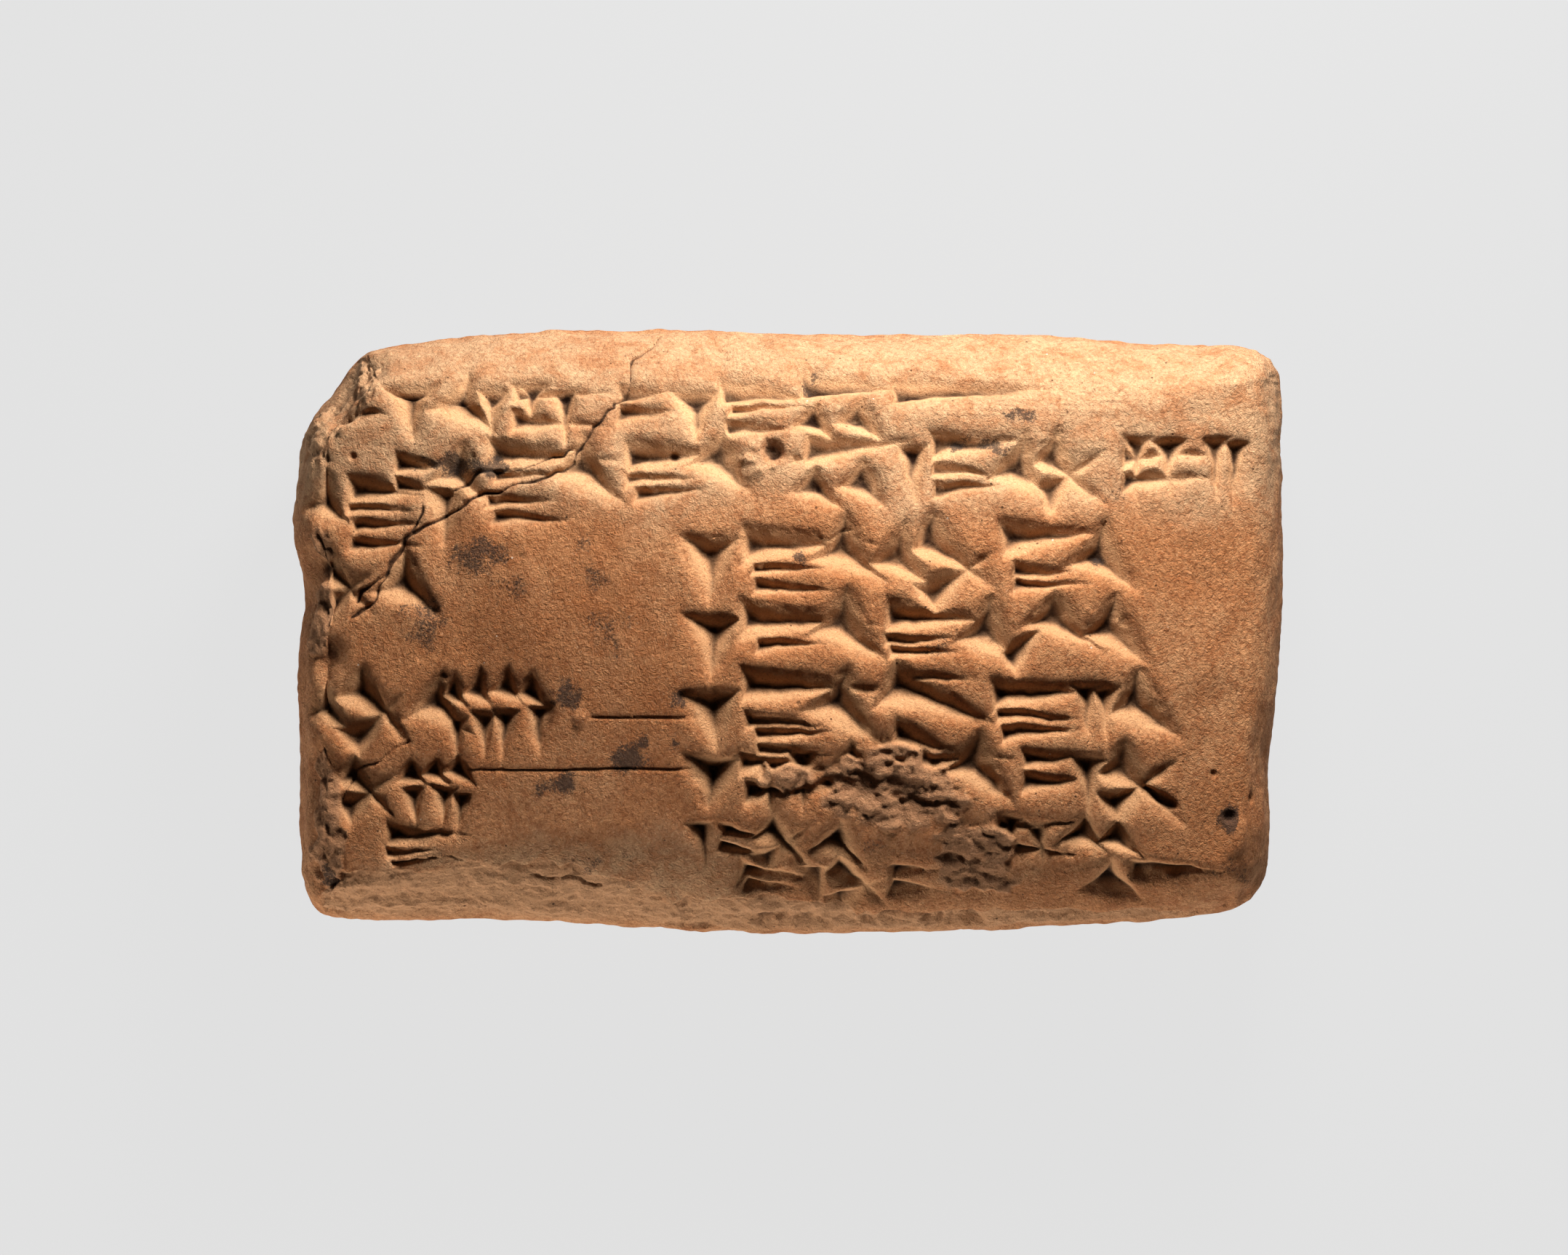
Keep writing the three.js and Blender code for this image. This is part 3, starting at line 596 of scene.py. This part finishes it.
def torn_relief(name, shards):
    """Height of a torn area: ledges of two sizes, with shards on them"""
    _, layers, shard_high, level = TORN[name]
    torn = sum(high * ledges(size, seed, stretch) for size, seed, stretch, high in layers)
    return torn + shard_high * shards + level


def hollows(height):
    """1 deep in a hollow, where the material paints shade, and 0 in the open"""
    return np.clip((blur(height, 0.7) - height) * 1.2, 0, 1)


def face_relief():
    """The relief of the written face and the masks that its material needs"""
    torn = {
        "crumble": area_mask(AREAS["crumble"], ragged=0.3, seed=41),
        "flake": area_mask(AREAS["flake"], ragged=0.1, seed=45, soft=0.06),
        "spall": area_mask(AREAS["spall"], ragged=0.25, seed=43),
    }
    broken = np.maximum(torn["spall"], torn["crumble"])
    kept = carve(FACE_LINES)
    for name, (taken, *_) in TORN.items():
        kept = kept * (1 - taken * torn[name])
    pressed = np.clip(kept / FULL_PRESS, 0, 1)
    bumps = noise(0.5, 52)
    dents = noise(0.8, 67, stretch=0.4)
    height = surface(kept)
    height += FACE_SWELLS * noise(1.8, 53) + (BUMPS * bumps + DENTS * dents) * (1 - PRESS_CALM * pressed)
    rim = smooth(0, 0.06, kept) * (1 - smooth(0.06, 0.4, kept))
    height -= NICKS * rim * np.abs(noise(0.2, 66))
    height -= chip_depth() * (1 - CHIP_FILL * np.maximum(broken, torn["flake"]) * smooth(8, 2, V))
    shards = np.abs(noise(0.14, 55))
    for name in ("crumble", "spall", "flake"):
        height += torn[name] * torn_relief(name, shards)
    height += WIPING * smooth(9, 13, V) * noise(0.1, 60, stretch=16.0)
    for x, y, radius, deep in PITS:
        gap = np.hypot(U - x, V - y) / radius * (1 + 0.2 * bumps)
        height -= deep * np.exp(-(gap**4))
    cracks = crack_depth()
    height -= cracks + rule_depth() * (1 - pressed)
    height = blur(height, LAST_BLUR["face"])
    # Painted light: paler towards the top edge, where the key light falls strongest, and over the lower
    # left, which the light from below reaches
    painted_top_light = smooth(6.5, 10.5, V + 0.6 * noise(1.5, 63))
    painted_low_light = area_mask(AREAS["painted_low_light"], ragged=0.2, seed=65, soft=0.8)
    return height, {
        "pressed": pressed,
        # painted shade: the material darkens where this is high, in the hollows and the cracks
        "hollow": np.maximum(hollows(height), np.clip(cracks * 1.8, 0, 1)),
        "broken": broken * smooth(12, 5, V),
        "flaked": torn["flake"],
        "stained": stain_mask(),
        # painted shade: broad darker patches over the middle left and the lower middle of the face
        "brown_and_shade": area_mask(AREAS["brown_and_shade"], ragged=0.25, seed=62, soft=0.9),
        "painted_light": np.maximum(painted_top_light, 0.9 * painted_low_light),
    }


def stain_mask():
    """How sooty the face is, with ragged borders"""
    mask = np.zeros_like(U)
    ragged = noise(0.5, 61) * 0.3 + noise(0.2, 62) * 0.25
    for (x, y), (along, across), strength in STAINS:
        share = np.hypot((U - x) / along, (V - y) / across)
        mask = np.maximum(mask, strength * smooth(-0.1, 0.9, 1.15 - share + ragged))
    return mask


def back_relief():
    """The relief of the reverse, all of it at or below the plain tablet, and its masks"""
    depth = carve(BACK_LINES)
    pressed = np.clip(depth / FULL_PRESS, 0, 1)
    height = surface(depth)
    height += (BACK_SWELLS * noise(1.8, 71) + BUMPS * noise(0.5, 72)) * (1 - PRESS_CALM * pressed)
    height = np.minimum(blur(height, LAST_BLUR["back"]), 0.0)
    nothing = np.zeros_like(U)
    return height, {
        "pressed": pressed,
        "hollow": hollows(height),
        "broken": nothing,
        "flaked": nothing,
        "stained": smooth(0.9, 2.2, noise(2.5, 73)) * 0.6,
        "brown_and_shade": smooth(0.2, 1.5, noise(4.0, 74)),
        "painted_light": nothing,
    }


def sample(field, u, v):
    """The sheet's value at (u, v), between its cells"""
    gx = np.clip((u + SHEET_U) / SHEET_CELL, 0, field.shape[1] - 1.001)
    gy = np.clip((v + SHEET_V) / SHEET_CELL, 0, field.shape[0] - 1.001)
    i, j = gx.astype(int), gy.astype(int)
    fx, fy = gx - i, gy - j
    low = field[j, i] * (1 - fx) + field[j, i + 1] * fx
    high = field[j + 1, i] * (1 - fx) + field[j + 1, i + 1] * fx
    return low * (1 - fy) + high * fy


def waves(points, size, seed, count=40):
    """Even noise in space, with blobs of that size, so that it runs on across the seam"""
    random = np.random.default_rng(seed)
    way = random.normal(size=(count, 3))
    way *= (2 * math.pi / size * random.uniform(0.6, 1.5, count) / np.linalg.norm(way, axis=1))[:, None]
    total = np.zeros(points.shape[:-1])
    for k, phase in zip(way, random.uniform(0, 2 * math.pi, count)):
        total += np.cos(points @ k + phase)
    return total / math.sqrt(count / 2)


def dressed_side(side):
    """Points of the written face (side 1) or of the reverse (side -1) with their relief, and their masks"""
    points, out, u, v, hold = pillow(side)
    height, masks = face_relief() if side > 0 else back_relief()
    lift = hold * sample(height, u, v)
    edge = 1 - smooth(0, 1.2, np.abs(out[..., 2]) * 1.3)
    lift = lift + edge * sum(high * waves(points, size, seed) for size, seed, high in EDGE_WAVES)
    grown = points + out * lift[..., None]
    if side < 0:
        grown[..., 2] = np.maximum(grown[..., 2], 0)
    return grown, {name: hold * sample(mask, u, v) for name, mask in masks.items()}


def tablet_mesh():
    """One closed mesh: a grid over the face and one over the reverse, which share their rims"""
    face, face_masks = dressed_side(1)
    back, back_masks = dressed_side(-1)
    rows, columns = face.shape[:2]
    face_ids = np.arange(rows * columns).reshape(rows, columns)
    back_ids = face_ids.copy()
    inner = (slice(1, -1), slice(1, -1))
    back_ids[inner] = rows * columns + np.arange((rows - 2) * (columns - 2)).reshape(rows - 2, columns - 2)

    def quads(ids, side):
        a, b, c, d = ids[:-1, :-1], ids[:-1, 1:], ids[1:, :-1], ids[1:, 1:]
        order = (a, b, d, c) if side > 0 else (a, c, d, b)
        return np.stack(order, -1).reshape(-1, 4)

    points = np.concatenate([face.reshape(-1, 3), back[inner].reshape(-1, 3)]) * MM
    corners = np.concatenate([quads(face_ids, 1), quads(back_ids, -1)])
    mesh = bpy.data.meshes.new("clay_tablet")
    mesh.vertices.add(len(points))
    mesh.vertices.foreach_set("co", points.ravel())
    mesh.loops.add(corners.size)
    mesh.loops.foreach_set("vertex_index", corners.ravel())
    mesh.polygons.add(len(corners))
    mesh.polygons.foreach_set("loop_start", np.arange(0, corners.size, 4))
    mesh.update(calc_edges=True)
    for name, mask in face_masks.items():
        values = np.concatenate([mask.ravel(), back_masks[name][inner].ravel()])
        mesh.attributes.new(name, "FLOAT", "POINT").data.foreach_set("value", values)
    return mesh


def add_tablet():
    """The tablet's piece: the fine mesh, thinned where it is flat"""
    rough = bpy.data.objects.new("rough", tablet_mesh())
    bpy.context.scene.collection.objects.link(rough)
    thin = rough.modifiers.new("thin", "DECIMATE")
    thin.ratio = min(1.0, MOST_TRIANGLES / (2 * len(rough.data.polygons)))
    thin.use_collapse_triangulate = True
    bpy.context.view_layer.update()
    mesh = bpy.data.meshes.new_from_object(rough.evaluated_get(bpy.context.evaluated_depsgraph_get()))
    full = rough.data
    bpy.data.objects.remove(rough)
    bpy.data.meshes.remove(full)
    mesh.name = "clay_tablet"
    mesh.shade_smooth()
    piece = bpy.data.objects.new("clay_tablet", mesh)
    bpy.context.scene.collection.objects.link(piece)
    return piece


class Nodes:
    """Short names for building a material's node tree"""

    def __init__(self, material):
        material.use_nodes = True
        self.tree = material.node_tree
        self.tree.nodes.clear()

    def add(self, kind, inputs=(), **settings):
        node = self.tree.nodes.new(kind)
        for name, value in settings.items():
            setattr(node, name, value)
        for key, value in dict(inputs).items():
            if isinstance(value, bpy.types.NodeSocket):
                self.tree.links.new(value, node.inputs[key])
            else:
                node.inputs[key].default_value = value
        return node

    def noise(self, size, detail=3.0, roughness=0.55):
        """Noise with blobs of that size in millimetres"""
        return self.add("ShaderNodeTexNoise", {
            "Vector": self.place,
            "Scale": 1 / (size * MM),
            "Detail": detail,
            "Roughness": roughness,
            "Distortion": 0.6,
        }).outputs["Fac"]

    def dots(self, spacing, edge, middle, strength):
        """Scattered round dots: distances from a dot's middle, in spacings, where it ends and is full"""
        cells = self.add("ShaderNodeTexVoronoi", {"Vector": self.place, "Scale": 1 / (spacing * MM)})
        return self.step(cells.outputs["Distance"], edge, middle, 0.0, strength)

    def step(self, value, low, high, to_low=0.0, to_high=1.0):
        """A smooth step from to_low to to_high as the value goes from low to high"""
        inputs = {"Value": value, "From Min": low, "From Max": high, "To Min": to_low, "To Max": to_high}
        return self.add("ShaderNodeMapRange", inputs, interpolation_type="SMOOTHSTEP").outputs["Result"]

    def add_up(self, a, b):
        return self.add("ShaderNodeMath", {0: a, 1: b}, operation="ADD").outputs[0]

    def times(self, a, b):
        return self.add("ShaderNodeMath", {0: a, 1: b}, operation="MULTIPLY").outputs[0]

    def larger(self, a, b):
        return self.add("ShaderNodeMath", {0: a, 1: b}, operation="MAXIMUM").outputs[0]

    def paint(self, share, tone, name):
        """The tone with that share of one of the named tones over it"""
        return self.mix(share, tone, colour(*TONES[name]))

    def mix(self, share, a, b):
        node = self.add("ShaderNodeMix", data_type="RGBA")
        for key, value in (("Factor_Float", share), ("A_Color", a), ("B_Color", b)):
            socket = next(one for one in node.inputs if one.identifier == key)
            if isinstance(value, bpy.types.NodeSocket):
                self.tree.links.new(value, socket)
            else:
                socket.default_value = value
        return next(one for one in node.outputs if one.identifier == "Result_Color")

    def mask(self, name):
        return self.add("ShaderNodeAttribute", attribute_name=name).outputs["Fac"]


def colour(red, green, blue):
    """An sRGB colour, given from 0 to 255, as linear values, opaque"""
    shares = (red / 255, green / 255, blue / 255)
    return tuple(c / 12.92 if c <= 0.04045 else ((c + 0.055) / 1.055) ** 2.4 for c in shares) + (1.0,)


def clay_material():
    """Fired clay in many tones, with soot, grains and a fine tooth, painted shade in its hollows and on
    broad patches, and painted light on its top band, its lower left and its torn clay
    """
    material = bpy.data.materials.new("clay")
    n = Nodes(material)
    turn = {"Vector": n.add("ShaderNodeTexCoord").outputs["Object"], "Rotation": TEXTURE_TURN}
    n.place = n.add("ShaderNodeVectorRotate", turn, rotation_type="EULER_XYZ").outputs["Vector"]
    pressed, hollow, broken, flaked = map(n.mask, ("pressed", "hollow", "broken", "flaked"))
    stained, brown_and_shade, painted_light = map(n.mask, ("stained", "brown_and_shade", "painted_light"))

    tone = n.paint(n.step(n.noise(9.0, 2.0), 0.35, 0.65), colour(*TONES["clay"]), "light_clay")
    # Painted shade on the face: broad darker patches where less light falls; on the reverse this tone comes
    # at random
    tone = n.paint(n.times(brown_and_shade, 0.48), tone, "brown_and_shade")
    # Painted light: paler towards the top edge and over the lower left
    tone = n.paint(painted_light, tone, "painted_light")
    tone = n.paint(n.step(n.noise(2.2, 5.0, 0.7), 0.42, 0.68, 0.0, 0.6), tone, "cloud")
    tone = n.paint(n.step(n.noise(0.7, 4.0, 0.7), 0.5, 0.7, 0.0, 0.45), tone, "blotch")
    mottle = n.times(n.step(n.noise(0.42, 4.0, 0.75), 0.46, 0.62), n.step(pressed, 0.0, 1.0, 0.55, 0.1))
    tone = n.paint(n.times(mottle, n.step(painted_light, 0.0, 1.0, 1.0, 0.35)), tone, "mottle")
    tone = n.paint(n.times(pressed, 0.65), tone, "pressed")
    # Flaked and broken clay is paler, and is lightened further as painted light on its slopes that turn from
    # the light
    tone = n.paint(n.times(flaked, 0.9), tone, "flaked")
    tone = n.paint(n.times(broken, 0.75), tone, "broken")
    grains = n.noise(0.15, 3.0, 0.75)
    tone = n.paint(n.step(grains, 0.52, 0.72, 0.0, 0.6), tone, "dark_grain")
    tone = n.paint(n.step(grains, 0.45, 0.28, 0.0, 0.4), tone, "light_grain")
    # Painted shade: darker in the hollows of the presses and in the cracks, less on broken clay
    hollow_shade = n.times(n.step(hollow, 0.12, 0.6), n.step(n.noise(1.2, 3.0), 0.3, 0.7, 0.7, 1.0))
    tone = n.paint(n.times(hollow_shade, n.step(broken, 0.0, 0.7, 1.0, 0.15)), tone, "hollow_shade")
    soot = n.step(n.add_up(stained, n.times(n.noise(0.2, 5.0, 0.8), 2.4)), 1.64, 2.0)
    tone = n.paint(n.times(soot, 0.8), tone, "soot")
    tone = n.paint(n.dots(2.6, 0.035, 0.022, 0.7), tone, "speck")
    tone = n.paint(n.dots(1.5, 0.07, 0.04, 0.75), tone, "dot")

    coarse = n.times(n.noise(0.38, 4.0, 0.75), n.step(pressed, 0.0, 1.0, 1.0, 0.35))
    torn = n.times(n.noise(0.5, 6.0, 0.8), n.times(n.larger(broken, flaked), 0.9))
    tooth = n.add_up(coarse, n.add_up(torn, n.times(grains, 0.35)))
    bump = n.add("ShaderNodeBump", {"Height": tooth, "Strength": 1.0, "Distance": BUMP_HIGH})
    shader = n.add("ShaderNodeBsdfPrincipled", {
        "Base Color": tone,
        "Roughness": n.step(n.noise(0.6), 0.3, 0.7, 0.84, 0.96),
        "Specular IOR Level": 0.25,
        "Normal": bump.outputs["Normal"],
    })
    n.add("ShaderNodeOutputMaterial", {"Surface": shader.outputs["BSDF"]})
    return material


def floor_material():
    """Pale paper that glows a little, so that it stays even under the lights"""
    material = bpy.data.materials.new("paper")
    n = Nodes(material)
    shader = n.add("ShaderNodeBsdfPrincipled", {
        "Base Color": (0.02, 0.02, 0.02, 1),
        "Roughness": 1.0,
        "Specular IOR Level": 0.0,
        "Emission Color": (1, 1, 1, 1),
        "Emission Strength": FLOOR_GLOW,
    })
    n.add("ShaderNodeOutputMaterial", {"Surface": shader.outputs["BSDF"]})
    return material


def add_floor():
    mesh = bpy.data.meshes.new("floor")
    h = FLOOR_HALF
    mesh.from_pydata([(-h, -h, 0), (h, -h, 0), (h, h, 0), (-h, h, 0)], [], [(0, 1, 2, 3)])
    mesh.materials.append(floor_material())
    floor = bpy.data.objects.new("floor", mesh)
    bpy.context.scene.collection.objects.link(floor)


def add_camera():
    data = bpy.data.cameras.new("camera")
    data.lens = LENS
    data.sensor_width = SENSOR
    camera = bpy.data.objects.new("camera", data)
    camera.location = (CAMERA_X, CAMERA_Y, EQUATOR * MM + FRAME_WIDE * LENS / SENSOR)
    bpy.context.scene.collection.objects.link(camera)
    bpy.context.scene.camera = camera


def add_light(name, azimuth, elevation, distance, size, power, tint):
    """A soft light that faces the tablet"""
    data = bpy.data.lights.new(name, "AREA")
    data.shape = "RECTANGLE"
    data.size, data.size_y = size
    data.energy = power
    data.color = tint
    light = bpy.data.objects.new(name, data)
    a, e = math.radians(azimuth), math.radians(elevation)
    way = np.array([math.cos(e) * math.cos(a), math.cos(e) * math.sin(a), math.sin(e)])
    light.location = way * distance + [0, 0, LIGHT_AIM]
    light.rotation_euler = (math.radians(90 - elevation), 0, math.radians(azimuth + 90))
    bpy.context.scene.collection.objects.link(light)


def add_world():
    world = bpy.data.worlds.new("room")
    bpy.context.scene.world = world
    n = Nodes(world)
    back = n.add("ShaderNodeBackground", {"Color": (1, 1, 1, 1), "Strength": ROOM_GLOW})
    n.add("ShaderNodeOutputWorld", {"Surface": back.outputs["Background"]})


add_camera()
tablet = add_tablet()
tablet.data.materials.clear()
tablet.data.materials.append(clay_material())
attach(tablet, "root")
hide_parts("tablet")
add_floor()
add_world()
for name, settings in LIGHTS.items():
    add_light(name, *settings)
bpy.context.scene.view_settings.view_transform = "Standard"
bpy.context.scene.view_settings.gamma = GAMMA
